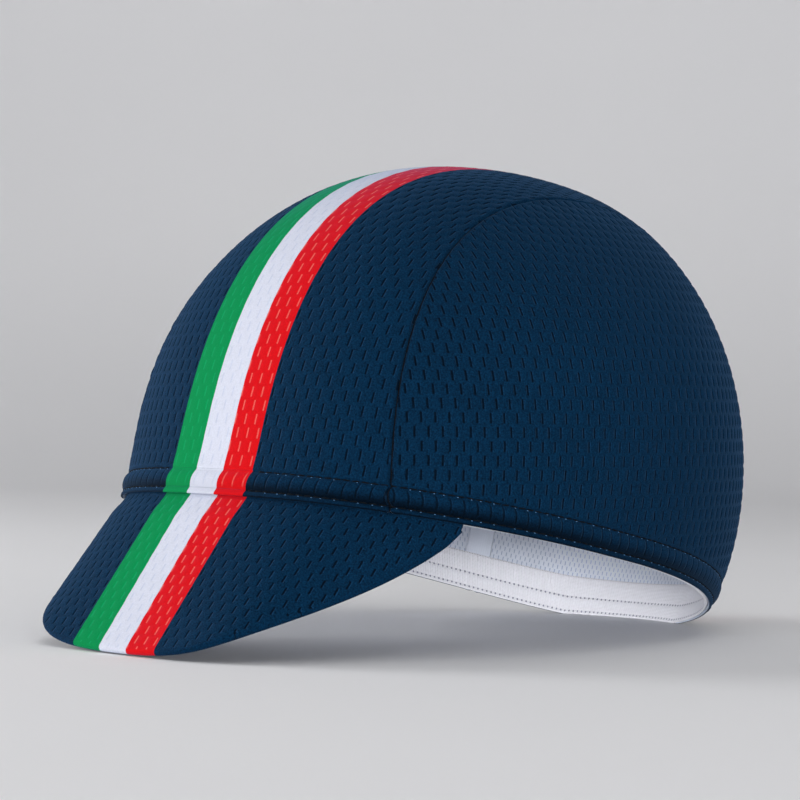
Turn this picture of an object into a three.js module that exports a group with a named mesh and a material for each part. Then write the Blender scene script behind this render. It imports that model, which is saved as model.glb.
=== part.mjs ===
// A cycling cap lying as it rests by itself, on the edge of its peak and on its back hem.
// Three crown panels with a turned hem, a sweatband inside and a short, turned-down peak.
// Millimetres, +Z up, +X the wearer's left, -Y the front. The ground is z = 0.
// The shapes are worked out with the hem level, and the whole cap is then tipped onto the ground.
import * as THREE from 'three';

const radians = THREE.MathUtils.degToRad;
const clamp = THREE.MathUtils.clamp;

// Head opening and crown, measured on the outside at the hem's lower edge
const HALF_WIDTH = 78.3;
const FRONT_REACH = 94.5;
const BACK_REACH = 103.2;
const CROWN_DEPTH = 114.7;
const TOP_SETBACK = 9.5; // how far the top lies behind the middle of the opening

// Walls and clearances
const WALL = 1.2;
const BAND_WALL = 1.0;
const PEAK_THICKNESS = 2.4;
const TONGUE_THICKNESS = 0.9;
const GAP = 0.3;

// Hem, turned in between two rows of stitches
const LOWER_ROW = 1.7;
const UPPER_ROW = 7.2;
const HEM_PUFF = 0.7;

// Hem's shape: it flares over the peak, is gathered at the back, and dips there
const FRONT_FLARE = 4.3;
const FLARE_HEIGHT = 7;
const BACK_GATHER = 11.4;
const GATHER_HEIGHT = 20;
const BACK_DIP = 10.8;

// Half width of the middle panel at the hem, and how much it narrows up to the top
const SEAM_HALF_WIDTH = 53.3;
const SEAM_NARROWING = 13.9;
const SEAM_CURVE = 1.6;

// Sweatband. Past each end of the peak it steps out to the crown, between two shares of its half span.
const BAND_WIDTH = 11.5;
const BAND_LIFT = 0.5;
const BAND_STEP = { from: 0.04, to: 0.25 };

// Peak: its length in the middle, half the bearing of the hem that it spans, and its slope
const PEAK_LENGTH = 50;
const PEAK_END_LENGTH = 1.5;
const PEAK_HALF_SPAN = radians(54);
const PEAK_SLOPE = radians(63);
const TONGUE_HEIGHT = 6;
const TONGUE_DROP = 0.5;
const TONGUE_TAPER = 8;

// Ground: how deep the back hem is pressed flat, and how far up the cloth gives way to it
const PRESS = 2.3;
const PRESS_HEIGHT = 34;

// Upright profiles of the crown. Belly and shoulder are shares of the reach that fill out
// the lower and the upper part, and round is how sharply the profile turns in to the top.
const SIDE = { reach: HALF_WIDTH, round: 0.78, belly: 0.089, shoulder: 0.04 };
const FRONT = { reach: FRONT_REACH, round: 0.83, belly: 0.087, shoulder: -0.018 };
const BACK = { reach: BACK_REACH, round: 0.82, belly: -0.078, shoulder: 0 };

// Level outlines: a power of 2 is an ellipse, and the front is squarer at the hem
const ELLIPSE = 2;
const FRONT_SQUARENESS = 0.48;

// Peak's bend, in radians from its middle to its ends, and the powers of its outline
const BEND = { slope: -0.78, slopeEnd: 0.62, toeIn: -0.5, toeOut: 0.25 };
const OUTLINE = { flatness: 5, corner: 1.15 };

// Grid: rows of the hem as shares of its upper stitch row, and counts elsewhere
const HEM_ROWS = [0, 0.22, 0.61, 1, 1.35];
const CENTRE_COLUMNS = 14;
const CENTRE_ROWS = 44;
const SIDE_COLUMNS = 30;
const SIDE_ROWS = 18;
const BAND_STATIONS = 96;
const BAND_ROWS = 3;
const PEAK_STATIONS = 44;
const TONGUE_ROWS = [1, 0.5, 0];
const BLADE_ROWS = [0.07, 0.16, 0.36, 0.58, 0.8, 1];

// Precision: halvings of a search, a small step along a curve, and corners taken as one
const HALVINGS = 48;
const NUDGE = 1e-4;
const ONE_SPOT = 1e-4;

// Cloth colours
const NAVY = 0x14304f;
const WHITE = 0xe6e8f0;

const steps = (count) => Array.from({ length: count + 1 }, (_, i) => i / count);

// Value between low and high where a rising function passes zero
function rootOf(rising, low, high) {
  let [from, to] = [low, high];
  for (let i = 0; i < HALVINGS; i += 1) {
    const middle = (from + to) / 2;
    if (rising(middle) > 0) to = middle;
    else from = middle;
  }
  return (from + to) / 2;
}

// Reach of one profile at a level angle, 0 at the hem and a right angle at the top
function reachAt(profile, angle, inset) {
  const fill = profile.belly * Math.sin(2 * angle) + profile.shoulder * Math.sin(4 * angle);
  return (profile.reach - inset) * (Math.cos(angle) ** profile.round + fill);
}

// Level outline of the crown at height z above the hem, with a wall inset
function levelAt(z, inset) {
  const angle = Math.asin(clamp(z / (CROWN_DEPTH - inset), 0, 1));
  return {
    side: reachAt(SIDE, angle, inset),
    front: reachAt(FRONT, angle, inset),
    back: reachAt(BACK, angle, inset),
    middle: TOP_SETBACK * Math.sin(angle) ** 2,
    squareness: ELLIPSE + FRONT_SQUARENESS * Math.cos(angle) ** 2,
    share: Math.sin(angle),
  };
}

// Point of a level outline at a bearing, 0 at the front and a right angle on the wearer's left
function outlinePoint(level, bearing) {
  const [s, c] = [Math.sin(bearing), Math.cos(bearing)];
  const power = 2 / (c > 0 ? level.squareness : ELLIPSE);
  const reach = c > 0 ? level.front : level.back;
  const x = level.side * Math.sign(s) * Math.abs(s) ** power;
  const y = level.middle - reach * Math.sign(c) * Math.abs(c) ** power;
  return new THREE.Vector2(x, y);
}

// Bearing of a point that lies on a level outline
function bearingOf(level, x, y) {
  const ahead = level.middle - y;
  const power = (ahead > 0 ? level.squareness : ELLIPSE) / 2;
  const reach = ahead > 0 ? level.front : level.back;
  const s = Math.sign(x) * Math.abs(x / level.side) ** power;
  const c = Math.sign(ahead) * Math.abs(ahead / reach) ** power;
  return Math.atan2(s, c);
}

// How far a point lies outside its level outline: negative inside, positive outside
function outsideBy(level, x, y) {
  const ahead = level.middle - y;
  const power = ahead > 0 ? level.squareness : ELLIPSE;
  const reach = ahead > 0 ? level.front : level.back;
  return Math.abs(x / level.side) ** power + Math.abs(ahead / reach) ** power - 1;
}

// Flare, gather and dip of the hem, which fade out up the crown
function shaped(point, z, share, bearing) {
  const frontness = ((1 + Math.cos(bearing)) / 2) ** 2;
  const backness = ((1 - Math.cos(bearing)) / 2) ** 2;
  const flare = (FRONT_FLARE / FRONT_REACH) * frontness * Math.exp(-z / FLARE_HEIGHT);
  const gather = (BACK_GATHER / BACK_REACH) * backness * Math.exp(-z / GATHER_HEIGHT);
  const swell = 1 + flare - gather;
  const dip = BACK_DIP * backness ** 2 * (1 - share);
  return new THREE.Vector3(point.x * swell, point.y * swell, z - dip);
}

// A spot of the crown keeps the hem's spot under it, which tells how far the ground lifts it
function crownSpot(z, inset, bearing) {
  const level = levelAt(z, inset);
  const hemPoint = outlinePoint(levelAt(0, inset), bearing);
  return {
    at: shaped(outlinePoint(level, bearing), z, level.share, bearing),
    hem: shaped(hemPoint, 0, 0, bearing),
    rise: z,
  };
}

// The hem's cloth stands out between its two rows of stitches
function hemPuff(z) {
  const share = (z - LOWER_ROW) / (UPPER_ROW - LOWER_ROW);
  return share > 0 && share < 1 ? HEM_PUFF * Math.sin(Math.PI * share) : 0;
}

// Half width of the middle panel at a height
function seamAt(z) {
  return SEAM_HALF_WIDTH - SEAM_NARROWING * (z / CROWN_DEPTH) ** SEAM_CURVE;
}

// Spot of the middle panel: across runs from -1 to 1, and turn from 0 at the front hem over
// the top to a half turn at the back hem. The spot is where a ray inside the crown meets it.
function centreSpot(across, turn, outer) {
  const climb = Math.abs(Math.sin(turn));
  const inset = outer ? -hemPuff(CROWN_DEPTH * climb) : WALL;
  const depth = CROWN_DEPTH - inset;
  const hemLevel = levelAt(0, inset);
  const hemX = across * (seamAt(0) - GAP / 2);
  const facesFront = turn < Math.PI / 2;
  const power = facesFront ? hemLevel.squareness : ELLIPSE;
  const reach = facesFront ? hemLevel.front : hemLevel.back;
  const hemY = reach * (1 - Math.abs(hemX / hemLevel.side) ** power) ** (1 / power);
  const run = facesFront ? hemY + TOP_SETBACK : hemY - TOP_SETBACK;
  const along = (scale) => {
    const z = scale * depth * climb;
    const x = across * (seamAt(z) - GAP / 2);
    return { x, y: TOP_SETBACK - scale * run * Math.cos(turn), z };
  };
  const outside = (scale) => {
    const { x, y, z } = along(scale);
    return z < depth ? outsideBy(levelAt(z, inset), x, y) : 1;
  };
  const { x, y, z } = along(rootOf(outside, 0, 2));
  return crownSpot(z, inset, bearingOf(levelAt(z, inset), x, y));
}

// Rows of the middle panel, from the front hem to the back hem
function centreTurns() {
  const hem = HEM_ROWS.map((share) => Math.asin((share * UPPER_ROW) / CROWN_DEPTH));
  const first = hem[hem.length - 1];
  const crown = steps(CENTRE_ROWS).map((t) => first + t * (Math.PI - 2 * first));
  const back = hem.slice(0, -1).reverse().map((turn) => Math.PI - turn);
  return [...hem.slice(0, -1), ...crown, ...back];
}

function centreGrid(outer) {
  const columns = steps(CENTRE_COLUMNS).map((t) => 2 * t - 1);
  return centreTurns().map((turn) => columns.map((across) => centreSpot(across, turn, outer)));
}

// Rows of a side panel run level from the front seam to the back seam and end in one spot
// at the top, where the panel is no wider than the seam's half width
function sideGrid(outer, hand) {
  const insetAt = (z) => (outer ? -hemPuff(z) : WALL);
  const seamX = (z) => seamAt(z) + GAP / 2;
  const depth = CROWN_DEPTH - insetAt(CROWN_DEPTH);
  const top = rootOf((z) => seamX(z) - levelAt(z, insetAt(z)).side, 0, depth);
  const hem = HEM_ROWS.map((share) => share * UPPER_ROW);
  const first = hem[hem.length - 1];
  const crown = steps(SIDE_ROWS).slice(1).map((t) => first + (top - first) * Math.sin((t * Math.PI) / 2));
  return [...hem, ...crown].map((z) => {
    const level = levelAt(z, insetAt(z));
    const width = clamp(seamX(z) / level.side, 0, 1);
    const atTop = z === crown[crown.length - 1];
    const from = atTop ? Math.PI / 2 : Math.asin(width ** (level.squareness / 2));
    const to = atTop ? Math.PI / 2 : Math.PI - Math.asin(width ** (ELLIPSE / 2));
    return steps(SIDE_COLUMNS).map((t) => crownSpot(z, insetAt(z), hand * (from + t * (to - from))));
  });
}

// The sweatband stands further in where the peak's tongue lies behind it
function bandInset(bearing) {
  const past = Math.abs(bearing) / PEAK_HALF_SPAN - 1;
  const room = 1 - THREE.MathUtils.smoothstep(past, BAND_STEP.from, BAND_STEP.to);
  return WALL + GAP + room * (TONGUE_THICKNESS + GAP);
}

function bandProfiles() {
  const heights = steps(BAND_ROWS).map((t) => BAND_LIFT + t * BAND_WIDTH);
  return steps(BAND_STATIONS).slice(1).map((t) => {
    const bearing = Math.PI * (2 * t - 1);
    const inset = bandInset(bearing);
    const outside = heights.map((z) => crownSpot(z, inset, bearing));
    const inside = heights.map((z) => crownSpot(z, inset + BAND_WALL, bearing));
    return [...outside, ...inside.reverse()];
  });
}

// Frame of the peak at a station from -1 to 1: its root under the hem, the way it runs and its face
function peakFrame(station) {
  const inset = WALL + GAP + TONGUE_THICKNESS / 2;
  const rootAt = (s) => {
    const at = crownSpot(0, inset, PEAK_HALF_SPAN * s).at;
    return at.setZ(at.z - TONGUE_DROP);
  };
  const tangent = rootAt(station + NUDGE).sub(rootAt(station - NUDGE)).normalize();
  const facing = Math.atan2(tangent.y, tangent.x);
  const heading = BEND.toeIn * facing + BEND.toeOut * station ** 3;
  const slope = PEAK_SLOPE + BEND.slope * station ** 2 + BEND.slopeEnd * station ** 4;
  const level = Math.cos(slope);
  const run = new THREE.Vector3(Math.sin(heading) * level, -Math.cos(heading) * level, -Math.sin(slope));
  const face = new THREE.Vector3().crossVectors(run, tangent).normalize();
  return { root: rootAt(station), run, face };
}

// Length of the peak at a station
function peakLength(station) {
  const share = (1 - Math.abs(station) ** OUTLINE.flatness) ** (1 / OUTLINE.corner);
  return PEAK_LENGTH * share + PEAK_END_LENGTH;
}

// One side of the peak: its tongue stands up behind the hem, and its blade slopes down and forward
function peakGrid(outer) {
  const stations = steps(PEAK_STATIONS).map((t) => Math.sin((t - 0.5) * Math.PI));
  const inset = WALL + GAP + (outer ? 0 : TONGUE_THICKNESS);
  const tongue = TONGUE_ROWS.map((t) => stations.map((station) => {
    const spot = crownSpot(t * TONGUE_HEIGHT, inset, PEAK_HALF_SPAN * station);
    return { at: t > 0 ? spot.at : spot.at.setZ(spot.at.z - TONGUE_DROP) };
  }));
  const blade = BLADE_ROWS.map((t) => stations.map((station) => {
    const { root, run, face } = peakFrame(station);
    const reach = t * peakLength(station);
    const taper = THREE.MathUtils.smoothstep(reach, 0, TONGUE_TAPER);
    const thickness = THREE.MathUtils.lerp(TONGUE_THICKNESS, PEAK_THICKNESS, taper);
    const side = (outer ? 0.5 : -0.5) * thickness;
    return { at: root.addScaledVector(run, reach).addScaledVector(face, side) };
  }));
  return [...tongue, ...blade];
}

// Height of a spot once the cap is tipped nose up by an angle
const tippedHeight = (at, tilt) => at.z * Math.cos(tilt) - at.y * Math.sin(tilt);
const lowest = (spots, tilt) => Math.min(...spots.map(({ at }) => tippedHeight(at, tilt)));

// Tips the cap until its peak meets the ground and its back hem is pressed into it
function tiltOnGround(peakSpots, hemSpots) {
  const peakAbove = (tilt) => lowest(peakSpots, tilt) - lowest(hemSpots, tilt) - PRESS;
  return rootOf(peakAbove, 0, radians(45));
}

// Lays a spot on the ground: tipped, lifted, and pressed up where the hem under it meets the ground
function laid(spot, tilt, lift) {
  const z = tippedHeight(spot.at, tilt) + lift;
  const y = spot.at.y * Math.cos(tilt) + spot.at.z * Math.sin(tilt);
  const sunk = spot.hem ? Math.max(0, -tippedHeight(spot.hem, tilt) - lift) : 0;
  const give = (1 - clamp((spot.rise ?? 0) / PRESS_HEIGHT, 0, 1)) ** 2;
  return new THREE.Vector3(spot.at.x, y, z + sunk * give);
}

// Solid from faces given as lists of corners; it is turned if its faces point inwards
function solidOf(faces) {
  const corners = [];
  let volume = 0;
  const addTriangle = (a, b, c) => {
    if (Math.min(a.distanceTo(b), b.distanceTo(c), c.distanceTo(a)) < ONE_SPOT) return;
    corners.push([a, b, c]);
    volume += a.dot(new THREE.Vector3().crossVectors(b, c));
  };
  faces.forEach(([a, b, c, d]) => {
    addTriangle(a, b, c);
    addTriangle(a, c, d);
  });
  const ordered = corners.map(([a, b, c]) => (volume > 0 ? [a, b, c] : [a, c, b]));
  const geometry = new THREE.BufferGeometry().setFromPoints(ordered.flat());
  geometry.computeVertexNormals();
  return geometry;
}

// Quads of a grid of points
function gridFaces(grid) {
  return grid.slice(1).flatMap((row, i) => row.slice(1).map((corner, j) => [
    grid[i][j], grid[i][j + 1], corner, row[j],
  ]));
}

// Wall between an outer and an inner grid, closed round its border
function wallSolid(outer, inner) {
  const border = (grid) => [
    ...grid[0],
    ...grid.slice(1).map((row) => row[row.length - 1]),
    ...grid[grid.length - 1].slice(0, -1).reverse(),
    ...grid.slice(1, -1).reverse().map((row) => row[0]),
  ];
  const [outerEdge, innerEdge] = [border(outer), border(inner)];
  const rim = gridFaces([[...innerEdge, innerEdge[0]], [...outerEdge, outerEdge[0]]]);
  const lining = gridFaces(inner).map((face) => face.reverse());
  return solidOf([...gridFaces(outer), ...lining, ...rim]);
}

// Ring of closed profiles
function ringSolid(profiles) {
  const closed = profiles.map((profile) => [...profile, profile[0]]);
  return solidOf(gridFaces([...closed, closed[0]]));
}

function clothMesh(name, geometry, colour) {
  const material = new THREE.MeshStandardMaterial({ color: colour, roughness: 0.85, metalness: 0 });
  const mesh = new THREE.Mesh(geometry, material);
  mesh.name = name;
  return mesh;
}

function makeCap() {
  const walls = {
    centre_panel: [centreGrid(true), centreGrid(false)],
    left_panel: [sideGrid(true, 1), sideGrid(false, 1)],
    right_panel: [sideGrid(true, -1), sideGrid(false, -1)],
    peak: [peakGrid(true), peakGrid(false)],
  };
  const band = bandProfiles();
  const peakSpots = walls.peak.flat(2);
  const hemSpots = walls.centre_panel[0][walls.centre_panel[0].length - 1];
  const tilt = tiltOnGround(peakSpots, hemSpots);
  const lift = -lowest(peakSpots, tilt);
  const lay = (grid) => grid.map((row) => row.map((spot) => laid(spot, tilt, lift)));

  const cap = new THREE.Group();
  Object.entries(walls).forEach(([name, [outer, inner]]) => {
    cap.add(clothMesh(name, wallSolid(lay(outer), lay(inner)), NAVY));
  });
  cap.add(clothMesh('sweatband', ringSolid(lay(band)), WHITE));

  // The middle of the cap's box is put over the origin
  const box = new THREE.Box3().setFromObject(cap);
  const middle = box.getCenter(new THREE.Vector3());
  cap.children.forEach((mesh) => mesh.geometry.translate(-middle.x, -middle.y, -box.min.z));
  return cap;
}

export default makeCap();
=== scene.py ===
"""Looks of a cycling cap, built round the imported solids.

Shapes are worked out in millimetres with the hem level, as the solids are, then tipped onto
the ground and handed to Blender in metres. +X is the wearer's left, -Y the front, +Z up.
Cloth carries its own coordinates: u across the mesh slits and w along them, in millimetres.
"""

import math

import bpy
import numpy as np
from mathutils import Matrix, Vector


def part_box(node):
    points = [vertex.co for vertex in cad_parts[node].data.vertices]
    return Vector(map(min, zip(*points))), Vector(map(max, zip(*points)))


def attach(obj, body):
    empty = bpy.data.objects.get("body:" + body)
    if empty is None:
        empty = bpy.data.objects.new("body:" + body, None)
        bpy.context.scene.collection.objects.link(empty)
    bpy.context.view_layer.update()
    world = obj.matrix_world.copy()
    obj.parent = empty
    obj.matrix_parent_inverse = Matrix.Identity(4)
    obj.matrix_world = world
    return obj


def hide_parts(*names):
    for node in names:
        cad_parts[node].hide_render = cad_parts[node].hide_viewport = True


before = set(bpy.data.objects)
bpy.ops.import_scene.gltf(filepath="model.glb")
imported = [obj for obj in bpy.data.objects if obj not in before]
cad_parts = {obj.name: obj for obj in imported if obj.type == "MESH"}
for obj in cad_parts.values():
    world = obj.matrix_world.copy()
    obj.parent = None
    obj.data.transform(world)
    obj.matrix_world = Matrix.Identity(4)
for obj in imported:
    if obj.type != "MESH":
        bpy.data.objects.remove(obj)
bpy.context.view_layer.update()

# Crown, hem, sweatband and peak, with the sizes of the solids
HALF_WIDTH, FRONT_REACH, BACK_REACH, CROWN_DEPTH = 78.3, 94.5, 103.2, 114.7
TOP_SETBACK = 9.5
WALL, BAND_WALL, PEAK_THICKNESS, TONGUE_THICKNESS, GAP = 1.2, 1.0, 2.4, 0.9, 0.3
LOWER_ROW, UPPER_ROW = 1.7, 7.2
FRONT_FLARE, FLARE_HEIGHT = 4.3, 7
BACK_GATHER, GATHER_HEIGHT, BACK_DIP = 11.4, 20, 10.8
SEAM_HALF_WIDTH, SEAM_NARROWING, SEAM_CURVE = 53.3, 13.9, 1.6
BAND_WIDTH, BAND_LIFT = 11.5, 0.5
BAND_STEP = (0.04, 0.25)
PEAK_LENGTH, PEAK_END_LENGTH = 50, 1.5
PEAK_HALF_SPAN, PEAK_SLOPE = math.radians(54), math.radians(63)
TONGUE_HEIGHT, TONGUE_DROP, TONGUE_TAPER = 6, 0.5, 8
PRESS, PRESS_HEIGHT = 2.3, 34
SIDE = (HALF_WIDTH, 0.78, 0.089, 0.04)
FRONT = (FRONT_REACH, 0.83, 0.087, -0.018)
BACK = (BACK_REACH, 0.82, -0.078, 0)
FRONT_SQUARENESS = 0.48
BEND_SLOPE, BEND_SLOPE_END, BEND_TOE_IN, BEND_TOE_OUT = -0.78, 0.62, -0.5, 0.25
OUTLINE_FLATNESS, OUTLINE_CORNER = 5, 1.15
PEAK_STATIONS = 44

# Mesh cloth: slits in staggered rows, and the printed stripe's edges
SLIT_PITCH, ROW_PITCH, SLIT_DEPTH, CELL_RISE = 3.85, 3.95, 0.26, 0.16
SLIT_HALF_WIDTH, SLIT_HALF_LENGTH = 0.3, 1.6
STRIPE_INNER, STRIPE_OUTER = 5.5, 16.5
SLIT_COLUMNS = (0, 0.3, 0.9625, 1.625)
SLIT_ROWS = (0.275, 0.825, 3.125, 3.675)
SIDE_ROW_STEP, PEAK_ROW_STEP = 0.8, 0.6
SEAM_MARGIN, BESIDE_SEAM, TAPE_WIDTH = 1.3, (0.0, 0.3, 0.7), 6.0
PEAK_RIM = 1.0

# The slits lie this much closer on the inner face, and their rows on the peak
INNER_GATHER, PEAK_GATHER = 2.4, 1.2

# Hem from its inner side round the lip to just above its upper stitch row: height and inset
HEM_PROFILE = np.array([
    (2.6, 1.2), (1.2, 1.2), (0.6, 1.1), (0.16, 0.8), (0.0, 0.45), (0.12, 0.18), (0.45, 0.02),
    (0.9, -0.02), (1.25, 0.1), (1.5, 0.36), (1.7, 0.52), (1.9, 0.36), (2.15, 0.05), (2.7, -0.3),
    (3.5, -0.6), (4.45, -0.72), (5.4, -0.6), (6.2, -0.3), (6.75, 0.05), (7.0, 0.36),
    (7.2, 0.52), (7.4, 0.36), (7.7, 0.08), (8.1, 0.0),
])
HEM_TOP, HEM_CREASE = 8.1, 0.1

# The same heights, negative on the inner side, where the cloth is not printed
HEM_HEIGHT = HEM_PROFILE[:, 0] * np.where(np.arange(len(HEM_PROFILE)) < 4, -1, 1)

# Marks the hem in the weave: there w is this plus the height, and elsewhere w is over half of it
HEM_MARK = -200.0

# Sweatband: how far its edge stands above the lip, its stitch rows and their pitch
BAND_LIP = 0.1
BAND_STITCHES, BAND_STITCH_PITCH = (1.0, 5.2), 1.5

# Hem stitches and the light flecks beside them, painted glints off the thread: pitch, length and
# width, and place
STITCH_SIZES, FLECK_SIZES = (2.6, 2.35, 0.4), (1.3, 0.5, 0.17)
STITCH_INSET, FLECK_INSET, FLECK_DROP = 0.34, 0.2, 0.3
STITCH_WOBBLE, STITCH_LEAN, FLECK_LEAST, STRIPE_CLEARANCE = 2.399, 0.07, 0.45, 1.0

# Seam: its rolled-in edge, the swell beside it, its puckers and its thread
ROLL_DEPTH, ROLL_WIDTH = 0.4, 0.32
SWELL_RISE, SWELL_PLACE, SWELL_WIDTH = 0.16, 1.2, 0.8
PUCKER_RISE, PUCKER_PITCH, PUCKER_REACH = 0.09, 5.3, 2.4
SEAM_THREAD_INSET, SEAM_THREAD_RADIUS, SEAM_THREAD_BEAD, SEAM_THREAD_PITCH = 0.5, 0.27, 0.04, 2.4

# Relief: how slits fade at their ends, at a seam and beside the stripe, where the cloth rises
# between two, the hem's open fold between its stitch rows, and the filling of their valleys
SLIT_RELIEF_FADE, SEAM_FADE, STRIPE_RELIEF_FADE = (-0.45, 0.1), (0.4, 1.6), (-0.4, 0.6)
RISE_SPAN, VALLEY_FILL, VALLEY_WIDTH = (0.2, 1.8), 0.42, 0.3
FOLD_OPENS, FOLD_CLOSES = (LOWER_ROW + 0.7, LOWER_ROW + 1.7), (UPPER_ROW - 1.2, UPPER_ROW - 0.5)
CENTRE_RELIEF, SIDE_RELIEF, PEAK_RELIEF, STRIPE_RELIEF = 0.6, 1.0, 0.5, 0.5

# Rows near the top of a side panel, by their length from it
TOP_ROWS = np.array([3.0, 2.3, 1.6, 1.0, 0.5, 0.15, 0.0])

# Height at which the inner faces start, and the crown's middle
INNER_START, CROWN_MIDDLE = 2.0, (0, 5, 45)

# Tape over a seam: the height where it starts, how far it lies inside the cloth, its section by
# place across and rise, with the first spot again at the end, and the faces that close it
TAPE_START, TAPE_INSET = 9.0, 0.1
TAPE_SECTION = np.array([
    (-1, 0.12), (-0.9, 0), (-0.3, 0.05), (0.3, 0.05), (0.9, 0), (1, 0.12), (0.9, 0.3),
    (0.3, 0.42), (-0.3, 0.42), (-0.9, 0.3), (-1, 0.12),
])
TAPE_CAP = np.array([[0, 1, 9, 10], [1, 2, 8, 9], [2, 3, 7, 8], [3, 4, 6, 7], [4, 5, 6, 6]])

# Sweatband: ribs, the pinch of its stitch rows, a low hump near its top, its puckers, and how
# far it is held off the ground
RIB_START, RIB_PITCH, RIB_RISE, PINCH_DEPTH, PINCH_WIDTH = 0.45, 0.42, 0.05, 0.22, 0.45
HUMP_RISE, HUMP_DROP, HUMP_WIDTH = 0.12, 2.4, 0.35
BAND_PUCKER, BAND_WAVES, PUCKER_HEIGHT = 0.12, (6.1, 3.7), 6.5
BAND_CLEARANCE, BAND_SLANT = 0.05, 0.2

# Closes a ring of six spots with two faces
RING_CAP = np.array([[0, 1, 2, 3], [0, 3, 4, 5]])


def smooth(value, low, high):
    """Smooth step from 0 at low to 1 at high."""
    t = np.clip((value - low) / (high - low), 0, 1)
    return t * t * (3 - 2 * t)


def halved(low, high, past, steps):
    """Value between low and high from which past is true, found by halving."""
    for _ in range(steps):
        middle = (low + high) / 2
        beyond = past(middle)
        low, high = np.where(beyond, low, middle), np.where(beyond, middle, high)
    return (low + high) / 2


def unit(vector):
    """Vectors made one long."""
    return vector / np.linalg.norm(vector, axis=-1, keepdims=True)


def reach_at(profile, angle, inset):
    """Reach less inset, times cos^rounding plus belly sin 2a plus shoulder sin 4a."""
    reach, rounding, belly, shoulder = profile
    fill = belly * np.sin(2 * angle) + shoulder * np.sin(4 * angle)
    return (reach - inset) * (np.maximum(np.cos(angle), 0) ** rounding + fill)


def level_at(z, inset):
    """Side, front and back reach, middle, squareness and share of the level outline at z."""
    angle = np.arcsin(np.clip(z / (CROWN_DEPTH - inset), 0, 1))
    side, front, back = (reach_at(profile, angle, inset) for profile in (SIDE, FRONT, BACK))
    squareness = 2 + FRONT_SQUARENESS * np.cos(angle) ** 2
    return side, front, back, TOP_SETBACK * np.sin(angle) ** 2, squareness, np.sin(angle)


def outline_point(level, bearing):
    """Superellipse point at a bearing: each reach times the sine or cosine to 2 / squareness."""
    side, front, back, middle, squareness, _ = level
    s, c = np.sin(bearing), np.cos(bearing)
    power = np.where(c > 0, 2 / squareness, 1)
    x = side * np.sign(s) * np.abs(s) ** power
    y = middle - np.where(c > 0, front, back) * np.sign(c) * np.abs(c) ** power
    return x, y


def bearing_of(level, x, y):
    """Bearing of a point on the outline, the inverse of outline_point."""
    side, front, back, middle, squareness, _ = level
    ahead = middle - y
    power = np.where(ahead > 0, squareness, 2) / 2
    reach = np.where(ahead > 0, front, back)
    s = np.sign(x) * np.abs(x / side) ** power
    c = np.sign(ahead) * np.abs(ahead / reach) ** power
    return np.arctan2(s, c)


def outside_by(level, x, y):
    """Superellipse sum less 1: negative inside the outline."""
    side, front, back, middle, squareness, _ = level
    ahead = middle - y
    power = np.where(ahead > 0, squareness, 2)
    reach = np.where(ahead > 0, front, back)
    return np.abs(x / side) ** power + np.abs(ahead / reach) ** power - 1


def shaped(x, y, z, share, bearing):
    """Scales a level outline by the front flare and back gather, and lowers it by the back dip."""
    frontness = ((1 + np.cos(bearing)) / 2) ** 2
    backness = ((1 - np.cos(bearing)) / 2) ** 2
    flare = FRONT_FLARE / FRONT_REACH * frontness * np.exp(-z / FLARE_HEIGHT)
    gather = BACK_GATHER / BACK_REACH * backness * np.exp(-z / GATHER_HEIGHT)
    swell = 1 + flare - gather
    return np.stack([x * swell, y * swell, z - BACK_DIP * backness**2 * (1 - share)], -1)


def crown(z, bearing, inset):
    """Spot of the crown before it is laid down, the hem's spot under it, and its height."""
    z, bearing, inset = np.broadcast_arrays(z, bearing, inset)
    level, hem = level_at(z, inset), level_at(z * 0, inset)
    at = shaped(*outline_point(level, bearing), z, level[-1], bearing)
    under = shaped(*outline_point(hem, bearing), z * 0, z * 0, bearing)
    return at, under, z


def tipped_height(at, tilt):
    """Height of a spot once the cap is tipped nose up."""
    return at[..., 2] * math.cos(tilt) - at[..., 1] * math.sin(tilt)


def seam_at(z):
    """Half width of the middle panel: it narrows with height to a power."""
    return SEAM_HALF_WIDTH - SEAM_NARROWING * (z / CROWN_DEPTH) ** SEAM_CURVE


def peak_root(station):
    """Where the middle of the peak's thickness leaves the hem."""
    inset = WALL + GAP + TONGUE_THICKNESS / 2
    return crown(0.0, PEAK_HALF_SPAN * station, inset)[0] - [0, 0, TONGUE_DROP]


def peak_frame(station):
    """Root, direction of run and face of the peak at a station from -1 to 1."""
    nudge = 1e-4
    tangent = unit(peak_root(station + nudge) - peak_root(station - nudge))
    facing = np.arctan2(tangent[..., 1], tangent[..., 0])
    heading = BEND_TOE_IN * facing + BEND_TOE_OUT * station**3
    slope = PEAK_SLOPE + BEND_SLOPE * station**2 + BEND_SLOPE_END * station**4
    level = np.cos(slope)
    run = np.stack([np.sin(heading) * level, -np.cos(heading) * level, -np.sin(slope)], -1)
    return peak_root(station), run, unit(np.cross(run, tangent))


def peak_length(station):
    """Length of the peak: (1 - |s|^flatness)^(1 / corner), plus the length at its ends."""
    share = np.maximum(1 - np.abs(station) ** OUTLINE_FLATNESS, 0) ** (1 / OUTLINE_CORNER)
    return PEAK_LENGTH * share + PEAK_END_LENGTH


def peak_spot(station, reach, side):
    """Root plus run times reach, plus face times half the thickness, up or down by side."""
    root, run, face = peak_frame(station)
    taper = smooth(reach, 0, TONGUE_TAPER)
    thickness = TONGUE_THICKNESS + (PEAK_THICKNESS - TONGUE_THICKNESS) * taper
    return root + run * reach[..., None] + face * (side * thickness / 2)[..., None]


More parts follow.
